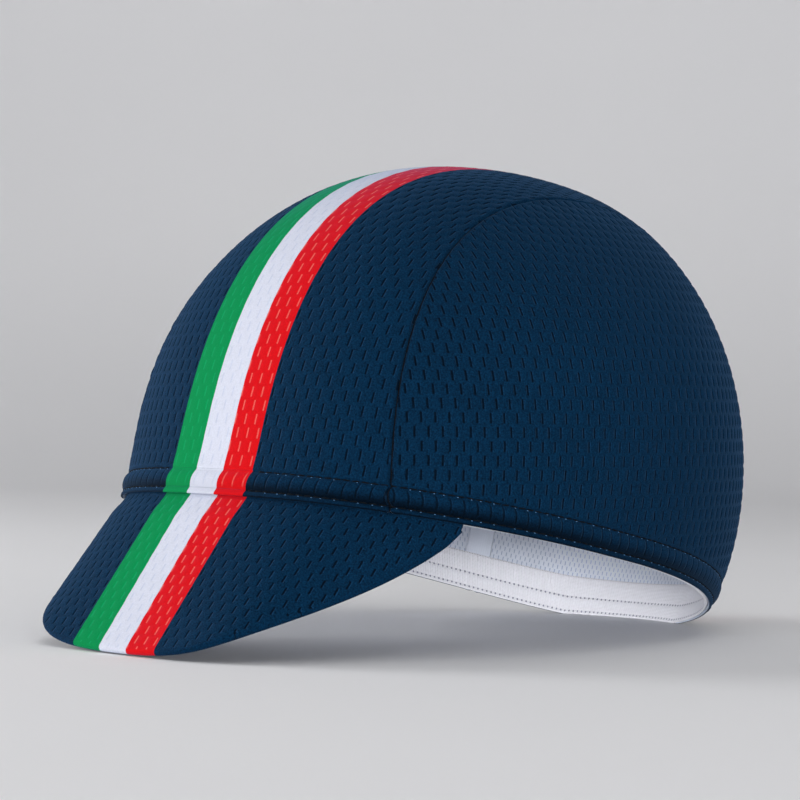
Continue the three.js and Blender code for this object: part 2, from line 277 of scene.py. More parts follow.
def rest_on_ground():
    """Tilt, lift and shift that lay the cap on its peak's edge and its pressed back hem."""
    stations = np.sin((np.arange(PEAK_STATIONS + 1) / PEAK_STATIONS - 0.5) * math.pi)
    edge = [peak_spot(stations, peak_length(stations), np.full(stations.shape, s)) for s in (1, -1)]
    edge = np.concatenate(edge)
    back = crown(0.0, math.pi, 0.0)[0]

    def back_is_low(tilt):
        return tipped_height(edge, tilt).min() - tipped_height(back, tilt) - PRESS > 0

    tilt = float(halved(0.0, math.pi / 4, back_is_low, 48))
    lift = -tipped_height(edge, tilt).min()
    y = edge[:, 1] * math.cos(tilt) + edge[:, 2] * math.sin(tilt)
    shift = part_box("peak")[0].y * 1000 - y.min()
    return tilt, lift, shift


TILT, LIFT, SHIFT = rest_on_ground()


def laid(at, under=None, rise=0.0):
    """Tips and lifts a spot, and presses it up where the hem under it would sink."""
    z = tipped_height(at, TILT) + LIFT
    y = at[..., 1] * math.cos(TILT) + at[..., 2] * math.sin(TILT) + SHIFT
    if under is not None:
        sunk = np.maximum(0, -tipped_height(under, TILT) - LIFT)
        z = z + sunk * (1 - np.clip(rise / PRESS_HEIGHT, 0, 1)) ** 2
    return np.stack([at[..., 0], y, z], -1)


def lengths_along(line):
    """Length from the first spot of a line, or of each row of lines, to each of its spots."""
    steps = np.linalg.norm(np.diff(line, axis=-2), axis=-1)
    return np.concatenate([np.zeros(steps.shape[:-1] + (1,)), np.cumsum(steps, -1)], -1)


# Meshes


def corners_of(rows, columns):
    """Four grid numbers of each face of a grid, in order."""
    first = (np.arange(rows - 1)[:, None] * columns + np.arange(columns - 1)).ravel()
    return np.stack([first, first + 1, first + columns + 1, first + columns], 1)


def ring_numbers(shape):
    """Numbers of a grid whose last column is its first again."""
    number = np.arange(math.prod(shape)).reshape(shape)
    number[..., -1] = number[..., 0]
    return number


def woven(u, w):
    """Cloth coordinates of each spot of a grid."""
    return np.stack(np.broadcast_arrays(u, w), -1)


def facing(spots, corners):
    """Unit normals at the spots: the normals of the faces round each, by area."""
    a, b, c, d = (spots[corners[:, k]] for k in range(4))
    face = np.cross(c - a, d - b)
    flat = corners.ravel()
    total = [np.bincount(flat, np.repeat(face[:, k], 4), len(spots)) for k in range(3)]
    normal = np.stack(total, 1)
    return normal / np.maximum(np.linalg.norm(normal, axis=1, keepdims=True), 1e-12)


def make_piece(name, materials, spots, corners, merged=None, weave=None, relief=None,
               face_kind=None, turn_out=None):
    """Mesh of faces given by their corners. Grid spots with one merged number are one vertex.
    Relief moves a spot along its normal. turn_out is 1 or -1 for a sheet that faces away from
    or towards the crown's middle, and None for a closed body, which faces out."""
    spots = spots.reshape(-1, 3)
    merged = np.arange(len(spots)) if merged is None else merged.ravel()
    _, first, number = np.unique(merged[corners.ravel()], return_index=True, return_inverse=True)
    source = corners.ravel()[first]
    vertex = number.reshape(-1, 4)
    place = spots[source]
    if turn_out is None:
        a, b, c, d = (place[vertex[:, k]] for k in range(4))
        volume = (a * np.cross(b, c)).sum() + (a * np.cross(c, d)).sum()
        flip = volume < 0
    else:
        normal = facing(place, vertex)
        flip = turn_out * (normal * (place - CROWN_MIDDLE)).sum() < 0
    if flip:
        vertex, corners = vertex[:, ::-1], corners[:, ::-1]
    if relief is not None:
        place = place + facing(place, vertex) * relief.ravel()[source][:, None]
    doubled = vertex == np.roll(vertex, -1, 1)
    count = 4 - doubled.sum(1)
    quads, threes = count == 4, count == 3
    keep = ~doubled[threes]
    loops = np.concatenate([vertex[quads].ravel(), vertex[threes][keep]])
    grid = np.concatenate([corners[quads].ravel(), corners[threes][keep]])
    starts = np.concatenate([
        np.arange(quads.sum()) * 4, quads.sum() * 4 + np.arange(threes.sum()) * 3,
    ])
    mesh = bpy.data.meshes.new(name)
    mesh.vertices.add(len(place))
    mesh.vertices.foreach_set("co", (place * 0.001).astype(np.float32).ravel())
    mesh.loops.add(len(loops))
    mesh.loops.foreach_set("vertex_index", loops.astype(np.int32))
    mesh.polygons.add(len(starts))
    mesh.polygons.foreach_set("loop_start", starts.astype(np.int32))
    for material in materials:
        mesh.materials.append(material)
    if face_kind is not None:
        kind = face_kind.ravel()
        kind = np.concatenate([kind[quads], kind[threes]]).astype(np.int32)
        mesh.polygons.foreach_set("material_index", kind)
    if weave is not None:
        layer = mesh.uv_layers.new(name="weave")
        layer.data.foreach_set("uv", weave.reshape(-1, 2)[grid].astype(np.float32).ravel())
    mesh.update(calc_edges=True)
    mesh.validate()
    mesh.shade_smooth()
    piece = bpy.data.objects.new(name, mesh)
    bpy.context.scene.collection.objects.link(piece)
    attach(piece, "root")
    return piece


# Cloth of the crown


def slit_relief(u, w):
    """Relief of the mesh cloth: a fine valley along each slit, full between its ends, and the
    cloth slightly raised half way between two slits."""
    row = np.floor(w / ROW_PITCH)
    across = (u / SLIT_PITCH + 0.5 * (row % 2)) % 1
    off = np.minimum(across, 1 - across) * SLIT_PITCH
    along = np.abs(w / ROW_PITCH - row - 0.5) * ROW_PITCH
    ends = 1 - smooth(along, *(SLIT_HALF_LENGTH + fade for fade in SLIT_RELIEF_FADE))
    raised = CELL_RISE * smooth(off, *RISE_SPAN)
    return ends * (raised - SLIT_DEPTH * (1 - smooth(off, 0.0, SLIT_HALF_WIDTH)))


def hem_relief(u, height, off_stripe):
    """Relief of the hem: a shallow crease at each slit of its fold. On the stripe the valleys
    of both stitch rows are nearly filled."""
    across = (u / SLIT_PITCH) % 1
    off = np.minimum(across, 1 - across) * SLIT_PITCH
    open_part = smooth(height, *FOLD_OPENS) * (1 - smooth(height, *FOLD_CLOSES))
    valleys = sum(np.exp(-(((height - row) / VALLEY_WIDTH) ** 2)) for row in (LOWER_ROW, UPPER_ROW))
    crease = HEM_CREASE * open_part * (1 - smooth(off, 0.0, SLIT_HALF_WIDTH))
    return VALLEY_FILL * valleys * (1 - off_stripe) - crease


def slit_columns(low, high):
    """Columns of the grid, four for each half pitch, so that every slit has its own."""
    half = SLIT_PITCH / 2
    cells = np.arange(math.floor(low / half), math.ceil(high / half) + 1) * half
    return (cells[:, None] + np.array(SLIT_COLUMNS)).ravel()


def clipped(columns, low, high):
    """Holds the columns of each row between its borders. Columns past one are merged into it."""
    u = np.clip(columns[None, :], low[:, None], high[:, None])
    first = np.searchsorted(columns, low, "right") - 1
    last = np.searchsorted(columns, high, "left")
    index = np.clip(np.arange(columns.size)[None, :], first[:, None], last[:, None])
    return u, index


def seam_relief(off, along):
    """Cloth rolls in at its seam, swells a little beside it and puckers along it."""
    roll = ROLL_DEPTH * np.exp(-((off / ROLL_WIDTH) ** 2))
    swell = SWELL_RISE * np.exp(-(((off - SWELL_PLACE) / SWELL_WIDTH) ** 2))
    pucker = np.sin(along * 2 * math.pi / PUCKER_PITCH + 0.8 * np.sin(along / 7.1))
    pucker = pucker + 0.5 * np.sin(along / 1.31)
    return swell - roll + PUCKER_RISE * pucker * np.exp(-off / PUCKER_REACH)


def panel_piece(name, place, low, high, height, share, materials, pointed=False):
    """Panel: columns along the slits, held a margin inside both seams, more columns beside each
    seam, and a wall at each seam down to the inner face. Rows of the hem have a height, the
    others none. Rows that share a place are merged, and a pointed panel ends in one spot.
    The slits' relief is scaled by a share, and by half of it on the printed stripe."""
    columns = slit_columns(low.min(), high.max())
    room = np.minimum(1, (high - low) / (2.2 * SEAM_MARGIN))
    beside = np.array(BESIDE_SEAM) * room[:, None]
    u, index = clipped(columns, low + SEAM_MARGIN * room, high - SEAM_MARGIN * room)
    u = np.concatenate([low[:, None] + beside, u, high[:, None] - beside[:, ::-1]], 1)
    face, w = place(u, None)
    hem = np.isfinite(height)
    w = np.where(hem[:, None], HEM_MARK + np.nan_to_num(height)[:, None], w)
    outer = np.abs(face[..., 0])
    off_stripe = smooth(outer, *(STRIPE_OUTER + fade for fade in STRIPE_RELIEF_FADE))
    to_seam = np.minimum(u - low[:, None], high[:, None] - u)
    share = share * (STRIPE_RELIEF + (1 - STRIPE_RELIEF) * off_stripe)
    cloth = slit_relief(u, w) * smooth(to_seam, *SEAM_FADE) * share
    fold = hem_relief(u, np.nan_to_num(height)[:, None], off_stripe)
    along = lengths_along(face[:, face.shape[1] // 2])[:, None]
    relief = np.where(hem[:, None], fold, cloth) + seam_relief(to_seam, along)
    left, right = place(low[:, None], WALL)[0], place(high[:, None], WALL)[0]
    spots = np.concatenate([left, face, right], 1)
    weave = woven(u, w)
    weave = np.concatenate([weave[:, :1], weave, weave[:, -1:]], 1)
    relief = np.pad(relief, ((0, 0), (1, 1)))
    rows, width = relief.shape
    number = np.tile(np.arange(width), (rows, 1))
    inner = 1 + len(BESIDE_SEAM)
    number[:, inner:inner + columns.size] = index + inner
    merged = number + width * np.arange(rows)[:, None]
    for row in np.flatnonzero(hem[1:] != hem[:-1]) + 1:
        merged[row] = merged[row - 1]
    if pointed:
        merged[-1, 1:-1] = merged[-1, 1]
        merged[-1, -1] = merged[-1, 0]
    corners = corners_of(rows, width)
    return make_piece(name, materials, spots, corners, merged, weave, relief, turn_out=1)


def row_lengths(total):
    """Lengths of the grid's rows up a stretch of cloth, four for each row of slits."""
    count = round(total / ROW_PITCH)
    starts = np.arange(count)[:, None] * ROW_PITCH
    rows = (starts + np.array(SLIT_ROWS)).ravel() * total / (count * ROW_PITCH)
    return np.concatenate([[0.0], rows, [total]]), count


def side_top(inset):
    """Height at which a side panel ends, where the crown is as wide as the seam."""

    def too_narrow(z):
        return seam_at(z) + GAP / 2 > level_at(np.array(z), inset)[0]

    return float(halved(0.0, CROWN_DEPTH - inset, too_narrow, 48))


def side_borders(z, inset):
    """Bearings of a side panel's front and back border at each height."""
    level = level_at(z, inset)
    width = np.clip((seam_at(z) + GAP / 2) / np.maximum(level[0], 1e-6), 0, 1)
    return np.arcsin(width ** (level[4] / 2)), math.pi - np.arcsin(width)


def side_lengths(z, inset):
    """Bearings along each level of a side panel and somewhat past its seams, and the length
    along the level to each from where it crosses the upright plane through the hem's middle.
    The cloth's grain is upright as the cap rests, and not square to the hem."""
    front, back = side_borders(z, inset)
    start, end = np.maximum(front - 0.8, 0.02), np.minimum(back + 0.1, math.pi)
    bearings = start[:, None] + (end - start)[:, None] * np.linspace(0, 1, 320)
    line = crown(z[:, None], bearings, inset[:, None])[0]
    upright = line[..., 1] * math.cos(TILT) + line[..., 2] * math.sin(TILT)
    along = lengths_along(line)
    middle = np.array([np.interp(0.0, y, a) for y, a in zip(upright, along)])
    along = along - middle[:, None]
    low = np.array([np.interp(f, b, a) for f, b, a in zip(front, bearings, along)])
    high = np.array([np.interp(f, b, a) for f, b, a in zip(back, bearings, along)])
    return bearings, along, low, high


def side_panel(name, hand, materials):
    """Side panel: rows are level outlines, columns keep their length along them from the
    upright plane. The rows of slits lie level as the cap rests: their number follows from a
    spot's height above the ground, by the length up the panel's middle to that height."""
    top = side_top(0.0)
    fine = np.linspace(HEM_TOP, top, 600)
    middle = crown(fine, math.pi / 2, 0.0)[0]
    climb = lengths_along(middle)
    even = np.linspace(0, climb[-1] - TOP_ROWS[0], round(climb[-1] / SIDE_ROW_STEP))
    lengths = np.concatenate([even, climb[-1] - TOP_ROWS[1:]])
    z = np.concatenate([HEM_PROFILE[:, 0], np.interp(lengths, climb, fine)])
    inset = np.concatenate([HEM_PROFILE[:, 1], lengths * 0])
    height = np.concatenate([HEM_HEIGHT, lengths * np.nan])
    bearings, along, low, high = side_lengths(z, inset)
    low[-1] = high[-1] = (low[-1] + high[-1]) / 2
    raised = tipped_height(middle, TILT)
    raised = np.concatenate([[raised[0] - 40], raised, [raised[-1] + 20]])
    pattern = np.concatenate([[-40.0], climb, [climb[-1] + 32]])

    def place(u, wall):
        rows = np.array([np.interp(s, a, b) for s, a, b in zip(u, along, bearings)])
        depth = (inset if wall is None else np.full(z.shape, wall))[:, None]
        at, under, rise = crown(z[:, None], hand * rows, depth)
        return laid(at, under, rise), np.interp(tipped_height(at, TILT), raised, pattern)

    return panel_piece(name, place, low, high, height, SIDE_RELIEF, materials, pointed=True)


def centre_spot(across, turn, inset):
    """Height and bearing where a path inside the crown meets it. At a scale the path is up by
    the scale times depth sin(turn), along by the scale times run cos(turn), and across by a share
    of the seam's half width at its height. The scale is found by halving."""
    across, turn, inset = np.broadcast_arrays(across, turn, inset)
    climb, depth = np.abs(np.sin(turn)), CROWN_DEPTH - inset
    side, front, back, _, squareness, _ = level_at(climb * 0, inset)
    ahead = turn < math.pi / 2
    power = np.where(ahead, squareness, 2)
    hem_x = across * (seam_at(0) - GAP / 2)
    hem_y = np.where(ahead, front, back) * (1 - np.abs(hem_x / side) ** power) ** (1 / power)
    run = np.where(ahead, hem_y + TOP_SETBACK, hem_y - TOP_SETBACK)

    def path_spot(scale):
        z = np.minimum(scale * depth * climb, depth * (1 - 1e-12))
        return z, across * (seam_at(z) - GAP / 2), TOP_SETBACK - scale * run * np.cos(turn)

    def outside(scale):
        z, x, y = path_spot(scale)
        return (outside_by(level_at(z, inset), x, y) > 0) | (scale * depth * climb >= depth)

    z, x, y = path_spot(halved(climb * 0, climb * 0 + 2, outside, 36))
    return z, bearing_of(level_at(z, inset), x, y)


def centre_rows():
    """Turn, inset, hem height and pattern row of each grid row from the front hem over the
    crown to the back hem. The hem's rows have a height, the others none."""
    hem_turn = np.arcsin(HEM_PROFILE[:, 0] / CROWN_DEPTH)
    start = math.asin(HEM_TOP / CROWN_DEPTH)
    table = np.linspace(start, math.pi - start, 1500)
    over = lengths_along(crown(*centre_spot(0.0, table, 0.0), 0.0)[0])
    lengths, count = row_lengths(over[-1])
    turn = np.concatenate([hem_turn, np.interp(lengths, over, table), math.pi - hem_turn[::-1]])
    inset = np.concatenate([HEM_PROFILE[:, 1], lengths * 0, HEM_PROFILE[::-1, 1]])
    height = np.concatenate([HEM_HEIGHT, lengths * np.nan, HEM_HEIGHT[::-1]])
    pattern = lengths / over[-1] * count * ROW_PITCH
    empty = HEM_PROFILE[:, 0] * 0
    return turn, inset, height, np.concatenate([empty, pattern, empty])


def centre_panel(name, materials):
    """Middle panel: rows cross it, columns are lengths along them from the middle line."""
    turn, inset, height, pattern = centre_rows()
    across = np.linspace(-1, 1, 121)
    z, bearing = centre_spot(across[None, :], turn[:, None], inset[:, None])
    length = lengths_along(crown(z, bearing, inset[:, None])[0])
    middle = across.size // 2
    length -= length[:, middle:middle + 1]

    def place(u, wall):
        share = np.array([np.interp(s, a, across) for s, a in zip(u, length)])
        depth = (inset if wall is None else np.full(turn.shape, wall))[:, None]
        z, bearing = centre_spot(share, turn[:, None], depth)
        return laid(*crown(z, bearing, depth)), np.broadcast_to(pattern[:, None], u.shape)

    low, high = length[:, 0], length[:, -1]
    return panel_piece(name, place, low, high, height, CENTRE_RELIEF, materials)


def inner_centre(name, materials):
    """Inner face of the middle panel: the same surface, a wall further in."""
    start = math.asin(INNER_START / CROWN_DEPTH)
    turn = np.linspace(start, math.pi - start, 150)
    across = np.linspace(-1, 1, 45)
    middle = across.size // 2
    z, bearing = centre_spot(across[None, :], turn[:, None], WALL)
    at = crown(z, bearing, WALL)
    u = lengths_along(at[0])
    u -= u[:, middle:middle + 1]
    weave = INNER_GATHER * woven(u, lengths_along(at[0][:, middle])[:, None])
    return make_piece(name, materials, laid(*at), corners_of(*u.shape), weave=weave, turn_out=-1)


def inner_side(name, hand, materials):
    """Inner face of a side panel, its level rows closing to one spot at the top."""
    top = side_top(WALL)
    z = INNER_START + (top - INNER_START) * np.sin(np.linspace(0, math.pi / 2, 60))
    front, back = side_borders(z, WALL)
    front[-1] = back[-1] = math.pi / 2
    bearing = front[:, None] + (back - front)[:, None] * np.linspace(0, 1, 70)
    at = crown(z[:, None], bearing, WALL)
    length = lengths_along(at[0])
    u = length - length[:, -1:] / 2
    w = lengths_along(crown(z, math.pi / 2, WALL)[0])[:, None]
    merged = np.arange(u.size).reshape(u.shape)
    merged[-1] = merged[-1, 0]
    spots = laid(*crown(z[:, None], hand * bearing, WALL))
    weave = INNER_GATHER * woven(u, w)
    return make_piece(name, materials, spots, corners_of(*u.shape), merged, weave, turn_out=-1)


def seam_tape(name, hand, materials):
    """Tape over a seam's inside: a closed flat profile, rounded at its edges, carried along the
    seam a little inside the cloth. Its weave stays between two rows, so it shows no slits."""
    start = math.asin(TAPE_START / CROWN_DEPTH)
    turn = np.linspace(start, math.pi - start, 260)
    across, rise = TAPE_SECTION.T * [[TAPE_WIDTH / 2], [1]]
    inset = WALL + TAPE_INSET + rise[None, :]
    edge = hand * (1 + GAP / 2 / SEAM_HALF_WIDTH)
    share = edge + across / SEAM_HALF_WIDTH
    z, bearing = centre_spot(share[None, :], turn[:, None], inset)
    spots = laid(*crown(z, bearing, inset))
    last = TAPE_CAP[:, ::-1] + (len(turn) - 1) * across.size
    grid = np.concatenate([corners_of(*z.shape), TAPE_CAP, last])
    return make_piece(name, materials, spots, grid, ring_numbers(z.shape), woven(across, z * 0))


# Peak


def peak_flat():
    """The peak laid flat, strip by strip between its lines: each next root lies the step's part
    along the line and its part square to it further on, and the line turns by the change of the
    run square to itself. Gives the stations, each root's and run's part across and forward."""
    station = np.linspace(-1, 1, 4001)
    root, run, face = peak_frame(station)
    square = np.cross(face, run)
    square *= np.sign(square[:, :1])
    step, swing = np.diff(root, axis=0), np.diff(run, axis=0)
    sideways, forward = square[:-1], run[:-1]
    turn = np.append(0, np.cumsum((swing * sideways).sum(1)))
    middle = station.size // 2
    turn -= turn[middle]
    a, b = (step * sideways).sum(1), (step * forward).sum(1)
    s, c = np.sin(turn[:-1]), np.cos(turn[:-1])
    across = np.append(0, np.cumsum(a * c + b * s))
    along = np.append(0, np.cumsum(b * c - a * s))
    across, along = across - across[middle], along - along[middle]
    return station, across, along, np.sin(turn), np.cos(turn)


STATION, FLAT_ROOT_U, FLAT_ROOT_W, FLAT_RUN_U, FLAT_RUN_W = peak_flat()


def station_at(u, reach):
    """Station whose line, at that reach, is at u on the flat peak, found by halving."""

    def past(station):
        root_u, run_u = (np.interp(station, STATION, part) for part in (FLAT_ROOT_U, FLAT_RUN_U))
        return root_u + reach * run_u > u

    return halved(np.full(u.shape, -1.0), np.full(u.shape, 1.0), past, 30)


def flat_forward(station, reach):
    """How far forward a spot of the peak lies on the flat peak, times the rows' gather."""
    root_w, run_w = (np.interp(station, STATION, part) for part in (FLAT_ROOT_W, FLAT_RUN_W))
    return PEAK_GATHER * (root_w + reach * run_w)


def peak_cover(name, materials):
    """Peak: columns straight forward on the flat peak, rows at equal reach from the hem, held at
    the edge, then round the edge, back along the underside and up the tongue behind the hem,
    closed on itself. From the middle of its edge on, the underside has the plain finish."""
    edge_u = FLAT_ROOT_U + peak_length(STATION) * FLAT_RUN_U
    outer = np.interp(np.linspace(0.84, 0.998, 28), STATION, edge_u)
    inner = slit_columns(-outer[0], outer[0])
    inner = inner[np.abs(inner) < outer[0] - 0.3]
    u = np.unique(np.concatenate([inner, outer, -outer]))
    edge_station = np.interp(u, edge_u, STATION)
    full = peak_length(edge_station) - PEAK_RIM

    rows = np.arange(0.3, PEAK_LENGTH + PEAK_END_LENGTH, PEAK_ROW_STEP)
    reach = np.minimum(rows[:, None], full)
    free = rows[:, None] < full
    station = np.where(free, station_at(np.broadcast_to(u, reach.shape), reach), edge_station)
    top = peak_spot(station, reach, np.ones(reach.shape))
    forward = flat_forward(station, reach)
    last_free = np.searchsorted(rows, full, "left")

    _, run, face = peak_frame(edge_station)
    middle = peak_spot(edge_station, full, edge_station * 0)
    taper = smooth(full, 0, TONGUE_TAPER)
    half = (TONGUE_THICKNESS + (PEAK_THICKNESS - TONGUE_THICKNESS) * taper)[:, None] / 2
    out = unit(np.cross(face, np.gradient(middle, axis=0)))
    out *= np.sign((out * run).sum(-1, keepdims=True))
    angle = np.linspace(0, math.pi, 9)[1:-1, None, None]
    round_edge = middle + face * half * np.cos(angle) + out * half * np.sin(angle)

    back = np.linspace(1, 0.03, 30)[:, None] * full
    back_station = station_at(np.broadcast_to(u, back.shape), back)
    below = peak_spot(back_station, back, -np.ones(back.shape))
    at_hem = PEAK_HALF_SPAN * station_at(u, u * 0)
    heights = np.array([0.0, TONGUE_HEIGHT / 2, TONGUE_HEIGHT])[:, None]
    drop = np.array([TONGUE_DROP, 0, 0])[:, None, None] * [0, 0, 1.0]
    inner_tongue = crown(heights, at_hem, WALL + GAP + TONGUE_THICKNESS)[0] - drop
    outer_tongue = (crown(heights, at_hem, WALL + GAP)[0] - drop)[::-1]
    spots = np.concatenate([outer_tongue, top, round_edge, below, inner_tongue, outer_tongue[:1]])
    shape = spots.shape[:2]
    between_rows = np.round(flat_forward(edge_station, full) / ROW_PITCH) * ROW_PITCH
    rim = np.broadcast_to(between_rows, round_edge.shape[:2])
    tongue = np.zeros((len(heights), u.size))
    w = np.concatenate([
        tongue, forward, rim, flat_forward(back_station, back), tongue, tongue[:1],
    ])
    weave = woven(u, w)
    relief = np.zeros(shape)
    cloth = slice(len(heights), len(heights) + len(rows))
    fine = slit_relief(weave[cloth, :, 0], forward)
    relief[cloth] = PEAK_RELIEF * fine * smooth(full - reach, *SEAM_FADE)
    number = np.arange(shape[0])[:, None] + np.zeros(shape, int)
    number[cloth] = np.minimum(number[cloth], cloth.start + last_free)
    merged = number * shape[1] + np.arange(shape[1])
    merged[-1] = merged[0]
    corners = corners_of(*shape)
    caps = end_fans(shape)
    kind = np.zeros((shape[0] - 1, shape[1] - 1))
    kind[cloth.stop + (len(angle) + 1) // 2:] = 1
    kind = np.concatenate([kind.ravel(), np.ones(len(caps))])
    corners = np.concatenate([corners, caps])
    return make_piece(name, materials, laid(spots), corners, merged, weave, relief, kind)


def end_fans(shape):
    """Faces that close both ends of a tube made from a grid, pairing its rows across."""
    rows, columns = shape
    steps = np.arange((rows - 1) // 2)
    near, far = steps, rows - 1 - steps
    left = np.stack([near, near + 1, far - 1, far], 1) * columns
    return np.concatenate([left, left[:, ::-1] + columns - 1])


# Sweatband


def band_inset(bearing):
    """Inset of the sweatband's outer side: further in where the peak's tongue lies behind it."""
    past = np.abs(bearing) / PEAK_HALF_SPAN - 1
    room = 1 - smooth(past, *BAND_STEP)
    return WALL + GAP + room * (TONGUE_THICKNESS + GAP)


def sweatband(name, materials):
    """Sweatband: a closed profile of height and depth, ribbed on its inner side, carried round
    the hem, with soft puckers above its upper stitch row. It is held off the ground."""
    ribs = np.arange(RIB_START, BAND_WIDTH - 0.4, RIB_PITCH)
    ridge = RIB_RISE * (np.arange(ribs.size) % 2 - 1)
    pinch = sum(np.exp(-(((ribs - row) / PINCH_WIDTH) ** 2)) for row in BAND_STITCHES)
    hump = np.exp(-(((ribs - BAND_WIDTH + HUMP_DROP) / HUMP_WIDTH) ** 2))
    ribbed = BAND_WALL + ridge - PINCH_DEPTH * pinch + HUMP_RISE * hump
    inside = np.stack([ribs, ribbed], 1)
    outside = np.array([(BAND_WIDTH - 0.3, 0.05), (BAND_WIDTH / 2, 0.0), (0.3, 0.05)])
    lower = np.array([(0.08, 0.25), (0.0, 0.5), (0.1, 0.8)])
    upper = np.array([(BAND_WIDTH - 0.12, 0.82), (BAND_WIDTH, 0.5), (BAND_WIDTH - 0.08, 0.22)])
    profile = np.concatenate([lower, inside, upper, outside, lower[:1]])
    bearing = np.linspace(-math.pi, math.pi, 561)
    length = lengths_along(crown(0.0, bearing, WALL)[0])
    rise, depth = profile[:, :1], profile[:, 1:]
    height = rise + BAND_LIP * (1 - rise / BAND_WIDTH) + BAND_LIFT * rise / BAND_WIDTH
    long_wave, short_wave = (length * 2 * math.pi / pitch for pitch in BAND_WAVES)
    wave = np.sin(long_wave + np.sin(length / 9)) + 0.6 * np.sin(short_wave)
    upness = np.sin(np.clip((rise - BAND_STITCHES[1]) / PUCKER_HEIGHT, 0, 1) * math.pi)
    inset = band_inset(bearing)[None, :] + depth * (1 - BAND_PUCKER * (wave + 1) * upness)
    spots = laid(*crown(height, bearing[None, :], inset))
    spots[..., 2] = np.maximum(spots[..., 2], BAND_CLEARANCE + BAND_SLANT * rise)
    shape = spots.shape[:2]
    merged = ring_numbers(shape)
    merged[-1] = merged[0]
    return make_piece(name, materials, spots, corners_of(*shape), merged, woven(length, rise))


# Threads


def along_line(table, total, where):
    """Spots or directions of a line at given lengths."""
    return np.stack([np.interp(where, total, table[:, k]) for k in range(3)], -1)


def stitches(name, line, normal, pitch, length, width, materials, start, least=-2.0):
    """One small capsule for each stitch, along a line, laid in the cloth: a ring of six round a
    chord at five places, thin at its ends and bowed outwards in its middle. Each leans by its
    wobble, and only those clear of the printed stripe with more than the least wobble stay."""
    total = lengths_along(line)
    count = int(total[-1] / pitch)
    where = (np.arange(count) + start) * total[-1] / count
    wobble = np.sin(np.arange(count) * STITCH_WOBBLE)
    clear = np.abs(along_line(line, total, where)[:, 0]) > STRIPE_OUTER + STRIPE_CLEARANCE
    kept = clear & (wobble > least)
    where, wobble = where[kept], wobble[kept]
    centre, out = along_line(line, total, where), unit(along_line(normal, total, where))
    half = length / 2
    ahead = along_line(line, total, where + half) - along_line(line, total, where - half)
    side = unit(np.cross(ahead, out))
    place = np.array([-0.5, -0.36, 0.0, 0.36, 0.5])
    girth = np.array([0.12, 0.85, 1.0, 0.85, 0.12]) * width / 2
    bow = np.array([-0.5, 0.15, 0.5, 0.15, -0.5]) * width
    turn = np.arange(7) / 6 * 2 * math.pi
    lean = side * (STITCH_LEAN * length * wobble)[:, None]
    chord = centre[:, None] + place[:, None] * (ahead + lean)[:, None] + bow[:, None] * out[:, None]
    ring = np.cos(turn)[:, None] * side[:, None, None] + np.sin(turn)[:, None] * out[:, None, None]
    spots = chord[:, :, None] + girth[:, None, None] * ring
    grid = np.concatenate([corners_of(5, 7), RING_CAP, RING_CAP[:, ::-1] + 28])
    corners = (np.arange(len(centre))[:, None, None] * 35 + grid).reshape(-1, 4)
    return make_piece(name, materials, spots, corners, ring_numbers(spots.shape[:3]))


def hem_line(z, inset, samples=1400):
    """Line round the crown at a height and inset, and the cloth's normal along it."""
    bearing = np.linspace(-math.pi, math.pi, samples)
    line = laid(*crown(z, bearing, inset))
    above = laid(*crown(z + 0.5, bearing, inset))
    return line, unit(np.cross(np.gradient(line, axis=0), above - line))


def seam_thread(name, hand, materials):
    """Thread in a seam: a tube of six sides along the seam, half a millimetre below the cloth
    and the hem's puff, slightly beaded."""
    start = math.asin(0.6 / CROWN_DEPTH)
    turn = np.linspace(start, math.pi - start, 900)
    z, bearing = centre_spot(hand * 1.0, turn, 0.0)
    inset = SEAM_THREAD_INSET + np.interp(z, *HEM_PROFILE[6:].T)
    z, bearing = centre_spot(hand * 1.0, turn, inset)
    line = laid(*crown(z, bearing, inset))
    line[:, 0] += hand * GAP / 2
    deeper = laid(*crown(*centre_spot(hand * 0.999, turn, 1.2), 1.2))
    ahead = np.gradient(line, axis=0)
    side = unit(np.cross(ahead, line - deeper))
    out = unit(np.cross(side, ahead))
    beads = np.sin(lengths_along(line) * 2 * math.pi / SEAM_THREAD_PITCH)
    radius = SEAM_THREAD_RADIUS + SEAM_THREAD_BEAD * beads
    turns = (np.arange(7) / 6 * 2 * math.pi)[None, :, None]
    ring = np.cos(turns) * side[:, None] + np.sin(turns) * out[:, None]
    spots = line[:, None] + radius[:, None, None] * ring
    merged = ring_numbers(spots.shape[:2])
    far_cap = RING_CAP[:, ::-1] + (len(line) - 1) * 7
    grid = np.concatenate([corners_of(len(line), 7), RING_CAP, far_cap])
    return make_piece(name, materials, spots, grid, merged)


# Materials


